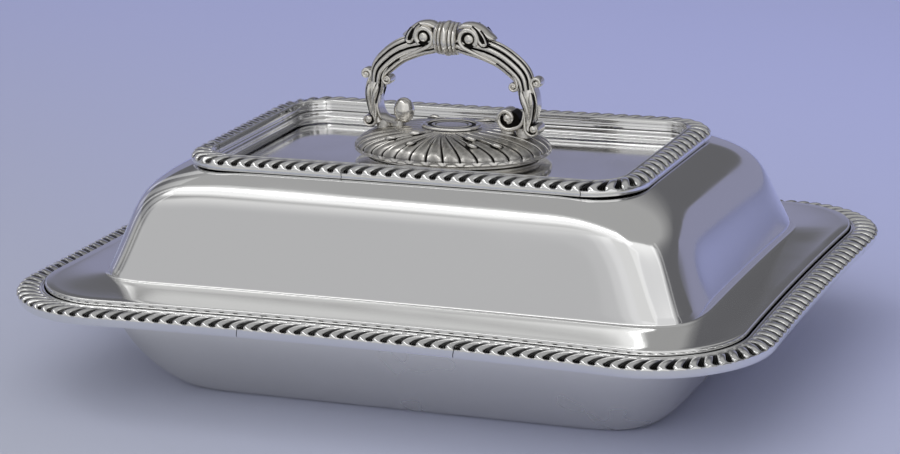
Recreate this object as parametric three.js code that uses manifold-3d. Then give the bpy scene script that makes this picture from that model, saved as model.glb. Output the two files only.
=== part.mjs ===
// A double vegetable dish of silver plate: an oblong basin with a flange, a domed cover that turns over to
// be a second dish, gadroon borders round the flange and round the cover's top, and a loop handle that locks
// into the cover with a bayonet.
// The base stands on z = 0 with its centre at the origin. The long sides lie along X, and -Y is the front.
import * as THREE from 'three';
import { mergeVertices } from 'three/addons/utils/BufferGeometryUtils.js';
import Module from 'manifold-3d';

const wasm = await Module();
wasm.setup();

// Driving dimensions, in millimetres and degrees

// Sheet, and the clearances between pieces that touch
const sheet = 1.2;
const thinSheet = 1.0;
const seatGap = 0.3;
const seamGap = 0.3;
const overrun = 1;

// The outermost edge of the dish. A lean is the angle of a slightly hollow side where its corner begins.
const rimOutline = { halfLength: 152.4, halfWidth: 115.7, corner: 44.6, sideLean: 3.6, endLean: 1.9 };

// The dish: mouth of the basin under its flange, base, and the wall's curve between them
const mouth = { endSetback: 31.5, sideSetback: 31, corner: 22.2, sideLean: 1, endLean: 0.5 };
const base = { endSetback: 22.7, sideSetback: 25.3, corner: 14.5 };
const basinDepth = 41.6;
const mouthRound = 1.5;
const basinCurveShares = [[0.25, 0.05], [0.93, 0.49]];

// The gadroon border soldered on the dish's flange
const rimBorder = { width: 10.4, skirt: 1.9, height: 4.1, edgeInset: 2.5 };
const rimBandShares = [[0.1, -1], [0.02, -0.25], [0, 0.22], [0.06, 0.56], [0.24, 0.83], [0.53, 0.93],
  [0.83, 0.98], [0.92, 1], [1, 0.95]];
const rimSeamShares = { left: 0.41, right: 0.41, end: 0.8 };

// The cover: turned-down edge inside the dish's border, flange, foot of the dome, and the dome's curve
const coverEdge = { sideGap: 0.9, height: 5.1, round: 3 };
const domeFoot = { endSetback: 19.6, sideSetback: 25.8, corner: 12, sideLean: 2, endLean: 1.6, fillet: 1.2 };
const domeTop = { endSetback: 27.5, sideSetback: 21, corner: 21.2, sideLean: 1.2, endLean: 0.1 };
const domeHeight = 40.8;
const domeCurveShares = [[0.38, 0.6], [0.25, 0.78]];

// The sunk top of the cover and the gadroon border round it
const topBorder = { width: 9.5, height: 4.6 };
const topBandShares = [[0.03, 0.02], [0, 0.35], [0.05, 0.72], [0.18, 0.94], [0.45, 1], [0.8, 0.94],
  [0.92, 0.9], [1, 0.84]];
const topSeamShares = { left: 0.33, right: 1, end: 0.8 };
const well = { depth: 2.9, bend: 2 };

// The bayonet that holds the handle: a slotted plate on the well's floor, a spigot with two lugs, a washer
const bayonet = { radius: 13.5, height: 3.4, plate: 1.2, wall: 2.6, turn: 75 };
const lug = { reach: 3.8, height: 1.3, halfAngle: 25 };
const bayonetClearance = { radial: 0.6, under: 0.4, angle: 3 };
const spigotRadius = 4.6;
const springWasher = { width: 4, thickness: 0.5 };
const spigotNut = { radius: 7, height: 2.5 };
const spigotTip = 0.4;

// The oval boss: a thin shell on a small foot, its closing plate, and the medallion on its top
const bossOval = { halfLength: 40.3, halfWidth: 27.9 };
const boss = { footInset: 5.2, undercut: 3.1, rise: 5.8, band: 0.5 };
const medallionOval = { halfLength: 12.3, halfWidth: 8.9 };
const medallion = { height: 0.9, seatMargin: 0.5 };
const medallionShares = [[0.3, 0.55], [0.62, 0.5], [0.7, 0.85], [0.78, 0.5], [0.86, 0.6], [0.94, 1],
  [1, 0.3]];

// The cast handle: two arms and the ringed collar between them
const handle = { halfSpan: 38.9, height: 42.4, depth: 8, footPlace: 24.5 };
const collar = { halfLength: 5.6, radius: 7 };
const collarShares = [[-1, 0.8], [-0.84, 0.93], [-0.7, 0.86], [-0.55, 0.95], [-0.42, 0.86], [-0.2, 0.97],
  [0.2, 1], [0.42, 0.86], [0.55, 0.95], [0.7, 0.86], [0.84, 0.93], [1, 0.8]];
const stud = { radius: 1.6, footDepth: 2, nutRadius: 3.2, nutHeight: 1.6, tip: 0.3 };
// The arm seen from the front: shares of the half span outwards and of the height above the boss
const armTopShares = [[0.24, 0.985], [0.35, 0.97], [0.44, 0.9], [0.53, 0.82], [0.67, 0.73], [0.8, 0.62],
  [0.87, 0.53], [0.93, 0.545], [0.985, 0.53], [1, 0.48], [0.96, 0.43], [0.945, 0.36], [0.94, 0.26],
  [0.9, 0.13], [0.92, 0.09], [0.93, 0.03], [0.88, -0.02]];
const armFootShares = [[0.8, -0.06], [0.7, -0.05], [0.6, -0.04], [0.51, 0], [0.45, 0.05], [0.435, 0.13],
  [0.48, 0.215], [0.56, 0.24], [0.63, 0.21], [0.69, 0.14], [0.73, 0.19], [0.73, 0.27], [0.71, 0.32],
  [0.63, 0.355], [0.6, 0.41], [0.63, 0.47], [0.66, 0.5], [0.57, 0.56], [0.44, 0.62], [0.3, 0.66]];

// How finely the shapes are divided
const sideSteps = 2;
const cornerSteps = 7;
const curveSteps = 8;
const ovalSteps = 32;
const roundSteps = 24;
const arcSteps = 8;
const armSteps = 2;

// Heights and outlines that follow from the driving dimensions

const flangeTop = basinDepth + sheet;
const coverSeat = flangeTop + seatGap;
const coverFlangeTop = coverSeat + coverEdge.height;
const shoulderTop = coverFlangeTop + domeHeight;
const wellFloor = shoulderTop - well.depth;

const mouthOutline = setBack(rimOutline, mouth);
const baseOutline = setBack(mouthOutline, { ...base, sideLean: 0, endLean: 0 });
const coverOutline = grow(rimOutline, -(rimBorder.width + coverEdge.sideGap));
const footOutline = setBack(coverOutline, domeFoot);
const topOutline = setBack(footOutline, domeTop);

const bayonetSeat = wellFloor + seatGap;
const bayonetTop = bayonetSeat + bayonet.height;
const lugTop = bayonetTop - bayonet.plate - bayonetClearance.under;
const lugBottom = lugTop - lug.height;
const washerBottom = bayonetTop + seatGap;
const bossPlateBottom = washerBottom + springWasher.thickness + seatGap;
const bossPlateTop = bossPlateBottom + sheet;
const bossTop = bossPlateTop + boss.rise;
const bossFoot = wellFloor + seatGap;
const equator = bossFoot + boss.undercut;
const medallionSeat = grow(medallionOval, medallion.seatMargin);
const handleTop = bossTop + handle.height;
const collarHeight = handleTop - collar.radius;

const silver = { color: 0xcfccc6, roughness: 0.18, metalness: 1 };
const castSilver = { color: 0xc4c0b6, roughness: 0.3, metalness: 1 };
const steel = { color: 0xa9abad, roughness: 0.35, metalness: 1 };
const brass = { color: 0xb59a5b, roughness: 0.35, metalness: 1 };

const part = new THREE.Group();

/** Adds one named piece to the part. */
function addPiece(name, geometry, finish) {
  const piece = new THREE.Mesh(geometry, new THREE.MeshStandardMaterial(finish));
  piece.name = name;
  part.add(piece);
}

/** An outline set back from another by different amounts at its ends and sides, with a corner of its own. */
function setBack(outline, { endSetback, sideSetback, corner, sideLean, endLean }) {
  return {
    halfLength: outline.halfLength - endSetback,
    halfWidth: outline.halfWidth - sideSetback,
    corner,
    sideLean,
    endLean,
  };
}

/** An outline or an oval moved outwards all round by one distance. */
function grow(outline, distance) {
  const grown = { ...outline };
  for (const key of ['halfLength', 'halfWidth', 'corner'].filter((name) => name in outline)) {
    grown[key] = outline[key] + distance;
  }
  return grown;
}

/** An outline part of the way from one to another. */
function blend(from, to, share) {
  const mixed = {};
  for (const key of Object.keys(from)) {
    mixed[key] = THREE.MathUtils.lerp(from[key], to[key], share);
  }
  return mixed;
}

/** A point of the first quarter: place 0 to 1 is up the end, 1 to 2 round the corner, 2 to 3 along the side. */
function quarterPoint({ halfLength, halfWidth, corner, sideLean, endLean }, place) {
  const endAngle = THREE.MathUtils.degToRad(endLean);
  const sideAngle = THREE.MathUtils.degToRad(sideLean);
  const centreX = halfLength - corner;
  const centreY = halfWidth - corner;
  if (place <= 1) {
    const endY = centreY - corner * Math.sin(endAngle);
    const hollow = endY * Math.tan(endAngle) / 2;
    return [centreX + corner * Math.cos(endAngle) - hollow * (1 - place ** 2), endY * place];
  }
  if (place <= 2) {
    const angle = (Math.PI / 2 + endAngle + sideAngle) * (place - 1) - endAngle;
    return [centreX + corner * Math.cos(angle), centreY + corner * Math.sin(angle)];
  }
  const sideX = centreX - corner * Math.sin(sideAngle);
  const hollow = sideX * Math.tan(sideAngle) / 2;
  const back = 3 - place;
  return [sideX * back, centreY + corner * Math.cos(sideAngle) - hollow * (1 - back ** 2)];
}

/** A point of the whole outline, by its place from 0 at the right end, anticlockwise, to 12. */
function outlinePoint(outline, place) {
  const turned = THREE.MathUtils.euclideanModulo(place, 12);
  const quarter = Math.min(Math.floor(turned / 3), 3);
  const local = turned - 3 * quarter;
  const mirrored = quarter % 2 === 1;
  const [x, y] = quarterPoint(outline, mirrored ? 3 - local : local);
  const turn = quarter >= 2 ? -1 : 1;
  return [turn * (mirrored ? -x : x), turn * y];
}

/** The places at which an outline is divided, from one place to another. */
function placesBetween(from, to) {
  const places = [];
  for (let segment = Math.floor(from); segment < to; segment++) {
    const steps = THREE.MathUtils.euclideanModulo(segment, 3) === 1 ? cornerSteps : sideSteps;
    for (let step = 0; step < steps; step++) {
      places.push(segment + step / steps);
    }
  }
  const inside = places.filter((place) => place > from && place < to);
  return [from, ...inside, to];
}

/** One level of a sheet that follows an outline. */
function outlineRing(outline, height) {
  return placesBetween(0, 12).slice(0, -1).map((place) => [...outlinePoint(outline, place), height]);
}

/** One level of an oval. */
function ovalRing({ halfLength, halfWidth }, height) {
  const ring = [];
  for (let step = 0; step < ovalSteps; step++) {
    const angle = 2 * Math.PI * step / ovalSteps;
    ring.push([halfLength * Math.cos(angle), halfWidth * Math.sin(angle), height]);
  }
  return ring;
}

/** A geometry from rows of points and the triangles between them. */
function geometryOf(points, triangles) {
  const geometry = new THREE.BufferGeometry();
  geometry.setAttribute('position', new THREE.Float32BufferAttribute(points.flat(), 3));
  geometry.setIndex(triangles.flat());
  geometry.computeVertexNormals();
  return geometry;
}

/** A closed body through rings, from the middle of its upper side outwards and back to the one underneath. */
function closedLoft(upperHeight, rings, lowerHeight) {
  const count = rings[0].length;
  const points = [[0, 0, upperHeight], ...rings.flat(), [0, 0, lowerHeight]];
  const lastPoint = points.length - 1;
  const lastRing = lastPoint - count;
  const triangles = [];
  for (let k = 0; k < count; k++) {
    const next = (k + 1) % count;
    triangles.push([0, 1 + k, 1 + next]);
    for (let start = 1; start < lastRing; start += count) {
      const lower = start + count;
      triangles.push([start + k, lower + k, lower + next], [start + k, lower + next, start + next]);
    }
    triangles.push([lastRing + next, lastRing + k, lastPoint]);
  }
  return geometryOf(points, triangles);
}

/** Moves each level of a profile square to it: upwards by a distance above 0, where the profile runs outwards. */
function offsetProfile(profile, distance) {
  const runs = profile.slice(1).map((level, k) => {
    const run = new THREE.Vector2(level.outline.halfLength - profile[k].outline.halfLength,
      level.height - profile[k].height);
    return run.normalize();
  });
  return profile.map(({ outline, height }, k) => {
    const before = runs[Math.max(k - 1, 0)];
    const after = runs[Math.min(k, runs.length - 1)];
    const reach = distance / (1 + before.dot(after));
    const outwards = -(before.y + after.y) * reach;
    const upwards = (before.x + after.x) * reach;
    return { outline: grow(outline, outwards), height: height + upwards };
  });
}

/** A bent sheet: the profile of one face runs outwards from its middle, with the metal above or below it. */
function sheetBody(profile, thickness, ringOf) {
  const moved = offsetProfile(profile, thickness);
  const [upper, lower] = thickness > 0 ? [moved, profile] : [profile, moved];
  const rings = [...upper, ...lower.toReversed()].map(({ outline, height }) => ringOf(outline, height));
  return closedLoft(upper[0].height, rings, lower[0].height);
}

/** Levels along a curve between two outlines; the curve's handles are shares of its run and rise. */
function curvedWall(from, to, fromHeight, toHeight, [nearShare, farShare]) {
  const curve = new THREE.CubicBezierCurve(new THREE.Vector2(0, 0), new THREE.Vector2(...nearShare),
    new THREE.Vector2(...farShare), new THREE.Vector2(1, 1));
  return curve.getPoints(curveSteps).map(({ x, y }) => ({
    outline: blend(from, to, x),
    height: THREE.MathUtils.lerp(fromHeight, toHeight, y),
  }));
}

/** The basin with its flange. */
function makeBasin() {
  const wall = curvedWall(baseOutline, mouthOutline, 0, basinDepth - mouthRound, basinCurveShares);
  const profile = [
    ...wall,
    { outline: grow(mouthOutline, mouthRound), height: basinDepth },
    { outline: grow(rimOutline, -(rimBorder.edgeInset + seatGap)), height: basinDepth },
  ];
  return sheetBody(profile, sheet, outlineRing);
}

/** The cover: sunk top, shoulder under the border, dome, flange and turned-down edge. */
function makeCover() {
  const innerEdge = grow(topOutline, -topBorder.width);
  const dome = curvedWall(footOutline, topOutline, coverFlangeTop + domeFoot.fillet, shoulderTop,
    domeCurveShares).toReversed();
  const profile = [
    { outline: grow(innerEdge, -well.bend), height: wellFloor },
    { outline: grow(innerEdge, -well.bend / 3), height: wellFloor + well.depth / 4 },
    { outline: innerEdge, height: shoulderTop - well.depth / 4 },
    { outline: grow(innerEdge, well.bend / 2), height: shoulderTop },
    ...dome,
    { outline: grow(footOutline, domeFoot.fillet / 2), height: coverFlangeTop + domeFoot.fillet / 4 },
    { outline: grow(footOutline, domeFoot.fillet * 2), height: coverFlangeTop },
    { outline: grow(coverOutline, -coverEdge.round), height: coverFlangeTop },
    { outline: grow(coverOutline, -coverEdge.round / 3), height: coverFlangeTop - coverEdge.round / 4 },
    { outline: coverOutline, height: coverFlangeTop - coverEdge.round },
    { outline: coverOutline, height: coverSeat },
  ];
  return sheetBody(profile, -sheet, outlineRing);
}

/** A stretch of border: the section, in insets and heights, follows the outline from one seam to the next. */
function borderStrip(outline, section, from, to) {
  const places = placesBetween(from, to);
  const nudge = 1 / 1000;
  const points = places.flatMap((place, k) => {
    const [aheadX, aheadY] = outlinePoint(outline, place + nudge);
    const [hereX, hereY] = outlinePoint(outline, place);
    const tangent = new THREE.Vector2(aheadX - hereX, aheadY - hereY).normalize();
    const pull = k === 0 ? seamGap / 2 : k === places.length - 1 ? -seamGap / 2 : 0;
    return section.map(([inset, height]) => {
      const [x, y] = outlinePoint(grow(outline, -inset), place);
      return [x + tangent.x * pull, y + tangent.y * pull, height];
    });
  });
  const count = section.length;
  const sectionOutline = section.map(([inset, height]) => new THREE.Vector2(-inset, height));
  const caps = THREE.ShapeUtils.triangulateShape(sectionOutline, []);
  const end = points.length - count;
  const triangles = caps.flatMap(([a, b, c]) => [[a, b, c], [end + a, end + c, end + b]]);
  for (let start = 0; start < end; start += count) {
    for (let k = 0; k < count; k++) {
      const next = (k + 1) % count;
      triangles.push([start + k, start + count + k, start + count + next]);
      triangles.push([start + k, start + count + next, start + next]);
    }
  }
  return geometryOf(points, triangles);
}

/** The eight strips of one border, with seams at shares of each half side. */
function addBorder(name, outline, section, { left, right, end }) {
  const seams = [-end, end, 3 - left, 3 + right, 6 - end, 6 + end, 9 - left, 9 + right, 12 - end];
  const names = ['right', 'back_right', 'back', 'back_left', 'left', 'front_left', 'front', 'front_right'];
  names.forEach((stretch, k) => {
    addPiece(`${name}_${stretch}`, borderStrip(outline, section, seams[k], seams[k + 1]), silver);
  });
}

/** The dish's border: a swelling band over the flange with a skirt that hides the flange's edge. */
function addRimBorder() {
  const bottom = flangeTop + seatGap;
  const top = bandSection(rimBandShares, rimBorder.width, (share) => {
    const reach = share < 0 ? rimBorder.skirt : rimBorder.height;
    return bottom + share * reach;
  });
  const underside = [
    [rimBorder.width, bottom],
    [rimBorder.edgeInset, bottom],
    [rimBorder.edgeInset, bottom - rimBorder.skirt],
  ];
  addBorder('rim_border', rimOutline, [...top, ...underside], rimSeamShares);
}

/** The border round the cover's top, flat underneath. */
function addTopBorder() {
  const bottom = shoulderTop + seatGap;
  const top = bandSection(topBandShares, topBorder.width, (share) => bottom + share * topBorder.height);
  addBorder('top_border', topOutline, [...top, [topBorder.width, bottom], [seatGap, bottom]], topSeamShares);
}

/** The upper line of a border's section, from shares of its width and height. */
function bandSection(shares, width, heightOf) {
  return shares.map(([inset, height]) => [inset * width, heightOf(height)]);
}

/** A ring or disc turned about the Z axis; its section is closed, in radii and heights. */
function turned(section) {
  const profile = section.map(([radius, height]) => new THREE.Vector2(radius, height));
  const lathe = new THREE.LatheGeometry(profile, roundSteps);
  lathe.rotateX(Math.PI / 2);
  return lathe;
}

/** A flat ring or, with no hole, a disc. */
function flatRing(hole, radius, bottom, top) {
  return turned([[hole, bottom], [radius, bottom], [radius, top], [hole, top], [hole, bottom]]);
}

/** A flat outline raised to a prism between two heights. */
function prism(shape, bottom, top) {
  const geometry = new THREE.ExtrudeGeometry(shape, {
    depth: top - bottom,
    bevelEnabled: false,
    curveSegments: arcSteps,
  });
  geometry.translate(0, 0, bottom);
  return geometry;
}

/** A prism over a sector of a ring, symmetric about an angle in degrees. */
function sector(innerRadius, outerRadius, middle, halfAngle, bottom, top) {
  const from = THREE.MathUtils.degToRad(middle - halfAngle);
  const to = THREE.MathUtils.degToRad(middle + halfAngle);
  const shape = new THREE.Shape();
  shape.absarc(0, 0, outerRadius, from, to, false);
  shape.absarc(0, 0, innerRadius, to, from, true);
  return prism(shape, bottom, top);
}

/** A cylinder between two heights. */
function post(x, y, radius, bottom, top) {
  const cylinder = new THREE.CylinderGeometry(radius, radius, top - bottom, roundSteps);
  cylinder.rotateX(Math.PI / 2);
  cylinder.translate(x, y, (bottom + top) / 2);
  return cylinder;
}

/** A nut with a round hole. */
function hexNut(x, radius, hole, bottom, top) {
  const corners = [0, 1, 2, 3, 4, 5].map((k) => {
    const angle = Math.PI / 3 * k;
    return new THREE.Vector2(radius * Math.cos(angle), radius * Math.sin(angle));
  });
  const shape = new THREE.Shape(corners);
  const bore = new THREE.Path();
  bore.absarc(0, 0, hole, 0, 2 * Math.PI, true);
  shape.holes.push(bore);
  const nut = prism(shape, bottom, top);
  nut.translate(x, 0, 0);
  return nut;
}

/** A geometry as a solid for joins and cuts. */
function toSolid(geometry) {
  const bare = geometry.clone();
  bare.deleteAttribute('normal');
  bare.deleteAttribute('uv');
  const welded = mergeVertices(bare);
  return new wasm.Manifold(new wasm.Mesh({
    numProp: 3,
    vertProperties: new Float32Array(welded.attributes.position.array),
    triVerts: new Uint32Array(welded.index.array),
  }));
}

/** A solid back as a geometry. */
function fromSolid(solid) {
  const mesh = solid.getMesh();
  const geometry = new THREE.BufferGeometry();
  geometry.setAttribute('position', new THREE.BufferAttribute(mesh.vertProperties, 3));
  geometry.setIndex(new THREE.BufferAttribute(mesh.triVerts, 1));
  geometry.computeVertexNormals();
  return geometry;
}

/** The slotted plate on the well's floor: a ring wall, a plate with two slots, and stops for the lugs. */
function makeBayonetPlate() {
  const hole = spigotRadius + bayonetClearance.radial;
  const lugRadius = spigotRadius + lug.reach;
  const cavity = bayonet.radius - bayonet.wall;
  const plateBottom = bayonetTop - bayonet.plate;
  const section = [[cavity, bayonetSeat], [bayonet.radius, bayonetSeat], [bayonet.radius, bayonetTop],
    [hole, bayonetTop], [hole, plateBottom], [cavity, plateBottom], [cavity, bayonetSeat]];
  let plate = toSolid(turned(section));
  const slotHalf = lug.halfAngle + bayonetClearance.angle;
  const slotRadius = lugRadius + bayonetClearance.radial;
  const stopFrom = bayonet.turn + slotHalf;
  const stopTo = 180 - slotHalf;
  const stopMiddle = (stopFrom + stopTo) / 2;
  const stopHalf = (stopTo - stopFrom) / 2;
  const stopReach = cavity + bayonet.wall / 2;
  for (const side of [0, 180]) {
    const slot = sector(spigotRadius, slotRadius, side + bayonet.turn, slotHalf, plateBottom - overrun,
      bayonetTop + overrun);
    plate = plate.subtract(toSolid(slot));
  }
  for (const side of [0, 180]) {
    const stop = sector(hole, stopReach, side + stopMiddle, stopHalf, bayonetSeat,
      plateBottom + bayonet.plate / 2);
    plate = plate.add(toSolid(stop));
  }
  return fromSolid(plate);
}

/** The spigot: a stem with two lugs at its foot. */
function makeSpigot() {
  const tip = bossPlateTop + seatGap + spigotNut.height - spigotTip;
  let spigot = toSolid(post(0, 0, spigotRadius, lugBottom, tip));
  for (const side of [0, 180]) {
    const tab = sector(spigotRadius / 2, spigotRadius + lug.reach, side, lug.halfAngle, lugBottom, lugTop);
    spigot = spigot.add(toSolid(tab));
  }
  return fromSolid(spigot);
}

/** The boss's outer face from the middle of its top to its foot, grown by a clearance. */
function bossProfile(clearance) {
  const dome = [];
  for (let step = 0; step <= curveSteps; step++) {
    const angle = Math.PI / 2 * step / curveSteps;
    dome.push({
      outline: blend(medallionSeat, bossOval, Math.sin(angle)),
      height: THREE.MathUtils.lerp(equator + boss.band, bossTop, Math.cos(angle)),
    });
  }
  const footOval = grow(bossOval, -boss.footInset);
  const profile = [
    ...dome,
    { outline: bossOval, height: equator - boss.band },
    { outline: blend(bossOval, footOval, 1 / 2), height: equator - boss.band * 2 },
    { outline: footOval, height: equator - boss.undercut / 2 },
    { outline: footOval, height: bossFoot },
  ];
  return offsetProfile(profile, clearance);
}

/** The boss as a full body, larger than the real one by a clearance, to cut what sits on it. */
function bossCutter() {
  const profile = bossProfile(seatGap);
  const rings = profile.map(({ outline, height }) => ovalRing(outline, height));
  return toSolid(closedLoft(profile[0].height, rings, bossFoot));
}

/** The boss's shell, with holes for the two studs of the handle. */
function makeBossShell() {
  let shell = toSolid(sheetBody(bossProfile(0), -thinSheet, ovalRing));
  for (const side of [-1, 1]) {
    const hole = post(side * handle.footPlace, 0, stud.radius + seatGap, equator, bossTop + overrun);
    shell = shell.subtract(toSolid(hole));
  }
  return fromSolid(shell);
}

/** The plate that closes the boss, a little inside the shell at that height, with a hole for the spigot. */
function makeBossPlate() {
  const inner = offsetProfile(bossProfile(0), -(thinSheet + seatGap));
  const level = inner.findLast(({ height }) => height >= bossPlateTop);
  const rings = [ovalRing(level.outline, bossPlateTop), ovalRing(level.outline, bossPlateBottom)];
  const plate = toSolid(closedLoft(bossPlateTop, rings, bossPlateBottom));
  const hole = post(0, 0, spigotRadius + seatGap, bossPlateBottom - overrun, bossPlateTop + overrun);
  return fromSolid(plate.subtract(toSolid(hole)));
}

/** The oval medallion with its raised rings. */
function makeMedallion() {
  const bottom = bossTop + seatGap;
  const middle = { halfLength: 0, halfWidth: 0 };
  const rings = medallionShares.map(([reach, rise]) => ovalRing(blend(middle, medallionOval, reach),
    bottom + rise * medallion.height));
  const under = ovalRing(medallionOval, bottom);
  return closedLoft(bottom + medallion.height / 2, [...rings, under], bottom);
}

/** One arm of the handle on the right or left side, cut to sit on the boss, with its stud. */
function makeArm(side) {
  const innerEnd = collar.halfLength + seatGap;
  const toPoint = ([outwards, upwards]) => new THREE.Vector2(side * outwards * handle.halfSpan,
    bossTop + upwards * handle.height);
  const points = [...armTopShares, ...armFootShares].map(toPoint);
  const endRadius = collar.radius * collarShares[0][1];
  const shape = new THREE.Shape();
  shape.moveTo(side * innerEnd, collarHeight - endRadius);
  shape.lineTo(side * innerEnd, collarHeight + endRadius);
  shape.splineThru(points);
  shape.closePath();
  const arm = new THREE.ExtrudeGeometry(shape, {
    depth: handle.depth,
    bevelEnabled: false,
    curveSegments: armSteps,
  });
  arm.rotateX(Math.PI / 2);
  arm.translate(0, handle.depth / 2, 0);
  const foot = side * handle.footPlace;
  const studBottom = studNutBottom() - stud.tip;
  const studPost = post(foot, 0, stud.radius, studBottom, bossTop + stud.footDepth);
  return fromSolid(toSolid(arm).subtract(bossCutter()).add(toSolid(studPost)));
}

/** The height of a foot nut's underside, just inside the boss's shell at the foot. */
function studNutBottom() {
  const profile = offsetProfile(bossProfile(0), -(thinSheet + seatGap));
  const reach = handle.footPlace + stud.nutRadius;
  const outer = profile.findIndex(({ outline }) => outline.halfLength >= reach);
  const [inside, outside] = [profile[outer - 1], profile[outer]];
  const share = THREE.MathUtils.inverseLerp(inside.outline.halfLength, outside.outline.halfLength, reach);
  return THREE.MathUtils.lerp(inside.height, outside.height, share) - stud.nutHeight;
}

/** The ringed collar between the arms, turned about the X axis. */
function makeCollar() {
  const section = [[0, -collar.halfLength], ...collarShares.map(([along, radius]) => [radius * collar.radius,
    along * collar.halfLength]), [0, collar.halfLength]];
  const body = turned(section);
  body.rotateY(Math.PI / 2);
  body.translate(0, 0, collarHeight);
  return body;
}

/** The flat spring washer between the bayonet plate and the boss's plate. */
function makeSpringWasher() {
  const hole = spigotRadius + seatGap;
  return flatRing(hole, hole + springWasher.width, washerBottom, washerBottom + springWasher.thickness);
}

/** The nut on the spigot. */
function makeSpigotNut() {
  const bottom = bossPlateTop + seatGap;
  return hexNut(0, spigotNut.radius, spigotRadius + seatGap, bottom, bottom + spigotNut.height);
}

/** The nut on the stud of the right or left arm. */
function makeFootNut(side) {
  const bottom = studNutBottom();
  return hexNut(side * handle.footPlace, stud.nutRadius, stud.radius + seatGap, bottom,
    bottom + stud.nutHeight);
}

addPiece('dish_basin', makeBasin(), silver);
addRimBorder();
addPiece('cover_shell', makeCover(), silver);
addTopBorder();
addPiece('bayonet_plate', makeBayonetPlate(), brass);
addPiece('spring_washer', makeSpringWasher(), steel);
addPiece('bayonet_spigot', makeSpigot(), brass);
addPiece('boss_plate', makeBossPlate(), brass);
addPiece('spigot_nut', makeSpigotNut(), brass);
addPiece('boss_shell', makeBossShell(), castSilver);
addPiece('boss_medallion', makeMedallion(), castSilver);
addPiece('handle_collar', makeCollar(), castSilver);
for (const [name, side] of [['left', -1], ['right', 1]]) {
  addPiece(`handle_arm_${name}`, makeArm(side), castSilver);
  addPiece(`foot_nut_${name}`, makeFootNut(side), brass);
}

export default part;
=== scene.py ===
"""The looks of an oblong covered serving dish of silver plate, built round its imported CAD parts.

The file is laid out as an add-on: property groups hold the sizes and colours that a user would change, and
each operator makes one piece or one group of like pieces. Lengths are in metres. The dish stands on z = 0
with its long sides along X and its front towards -Y.
"""
import math
from collections import namedtuple

import bmesh
import bpy
import numpy
from bpy.props import FloatProperty, FloatVectorProperty, PointerProperty
from mathutils import Matrix, Vector
from mathutils.geometry import interpolate_bezier


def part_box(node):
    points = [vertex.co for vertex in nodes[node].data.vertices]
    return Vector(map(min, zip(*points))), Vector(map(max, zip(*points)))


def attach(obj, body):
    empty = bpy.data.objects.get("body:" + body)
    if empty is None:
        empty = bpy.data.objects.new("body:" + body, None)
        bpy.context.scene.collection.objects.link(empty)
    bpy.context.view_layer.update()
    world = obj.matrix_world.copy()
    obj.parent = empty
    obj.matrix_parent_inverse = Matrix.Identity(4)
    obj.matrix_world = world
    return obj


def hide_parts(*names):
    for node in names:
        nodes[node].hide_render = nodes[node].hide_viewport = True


bl_info = {
    "name": "Covered Serving Dish",
    "version": (1, 0, 0),
    "blender": (4, 5, 0),
    "location": "3D View > Sidebar > Dish",
    "description": "Makes the silver pieces of a covered serving dish round its CAD parts",
    "category": "Add Mesh",
}

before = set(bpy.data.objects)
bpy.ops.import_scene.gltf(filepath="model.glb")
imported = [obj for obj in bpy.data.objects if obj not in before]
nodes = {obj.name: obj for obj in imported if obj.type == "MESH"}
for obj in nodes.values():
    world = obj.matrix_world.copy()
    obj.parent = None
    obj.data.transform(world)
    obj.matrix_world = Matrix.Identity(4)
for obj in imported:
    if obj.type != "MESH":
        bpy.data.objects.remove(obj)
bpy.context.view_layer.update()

MM = 0.001
Outline = namedtuple("Outline", "half_length half_width corner side_lean end_lean")
Oval = namedtuple("Oval", "half_length half_width")
Level = namedtuple("Level", "outline height softness", defaults=(0,))
Row = namedtuple("Row", "inset height depth width")
Station = namedtuple("Station", "x z half_width half_depth")
Scroll = namedtuple("Scroll", "lead centre radii start sweep half_widths half_depths floor eye")

# Heights of the pieces, from the CAD parts' boxes
flange_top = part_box("dish_basin")[1].z
cover_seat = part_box("cover_shell")[0].z
shoulder_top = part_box("cover_shell")[1].z
top_border_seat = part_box("top_border_front")[0].z
boss_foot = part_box("boss_shell")[0].z
boss_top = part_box("boss_shell")[1].z
medallion_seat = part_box("boss_medallion")[0].z
medallion_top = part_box("boss_medallion")[1].z
collar_height = (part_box("handle_collar")[0].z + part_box("handle_collar")[1].z) / 2
stud_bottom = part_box("handle_arm_right")[0].z

# The sheet of the basin and the cover, the boss's thinner one, and how close vertices are joined
sheet = 1.2 * MM
thin_sheet = 1 * MM
weld = 0.001 * MM

# Outlines seen from above: half length, half width, corner radius, and how far the long sides and the ends
# lean where their corners begin, in degrees
rim_outline = Outline(152.3 * MM, 115.6 * MM, 44.5 * MM, 3.6, 1.9)
mouth_outline = Outline(120.9 * MM, 84.7 * MM, 22.2 * MM, 1, 0.5)
base_outline = Outline(98.2 * MM, 59.4 * MM, 14.5 * MM, 0, 0)
cover_outline = Outline(141.1 * MM, 104.4 * MM, 33.3 * MM, 3.6, 1.9)
foot_outline = Outline(121.5 * MM, 78.6 * MM, 12 * MM, 2, 1.6)
top_outline = Outline(94 * MM, 57.6 * MM, 21.2 * MM, 1.2, 0.1)

# How far along the drawn walls the metal evens out the turn from the sides to the corners
wall_softness = 9 * MM
softening_shares = (
    (-2, 0.05), (-1.33, 0.12), (-0.67, 0.21), (0, 0.24), (0.67, 0.21), (1.33, 0.12), (2, 0.05),
)

# The basin: its wall is a curve from the base to the mouth, in shares of the run and of the rise
mouth_round = 1.5 * MM
flange_inset = 2.8 * MM
basin_curve_shares = ((0.25, 0.05), (0.93, 0.49))

# The cover: turned-down edge, flange, foot of the dome, the dome's curve and the sunk top
cover_edge_height = 5.1 * MM
cover_edge_round = 0.8 * MM
foot_fillet = 1.4 * MM
dome_curve_shares = ((0.38, 0.6), (0.25, 0.78))
well_depth = 2.9 * MM
well_bend = 1.4 * MM
flat_margin = 3 * MM

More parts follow.
